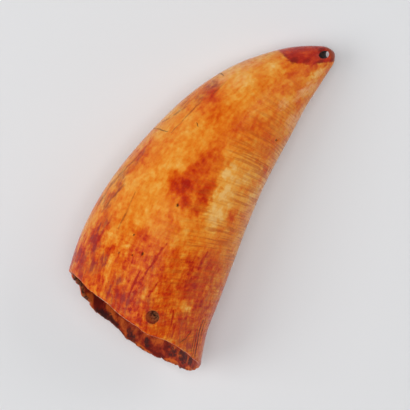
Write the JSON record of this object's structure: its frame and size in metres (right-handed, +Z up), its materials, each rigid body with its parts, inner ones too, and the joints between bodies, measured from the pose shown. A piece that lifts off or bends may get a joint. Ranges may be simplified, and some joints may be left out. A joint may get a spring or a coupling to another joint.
{
  "type": "sperm whale tooth",
  "caption": "Polished amber sperm whale tooth on its side: curved, blunt at the tip, broken and hollow at the root, drilled near the tip and near the root for a cord.",
  "frame": {"origin": "on the surface that the tooth lies on, below the middle of its box", "axes": "+X from the broken root to the tip, +Y towards the convex edge, +Z up from the surface that it lies on"},
  "size_m": [0.1558, 0.0798, 0.0496],
  "materials": {
    "ivory": "aged tooth ivory, polished to a waxy gloss and stained amber, orange and red-brown"
  },
  "bodies": {
    "root": {"whale_tooth": "ivory"}
  },
  "joints": []
}
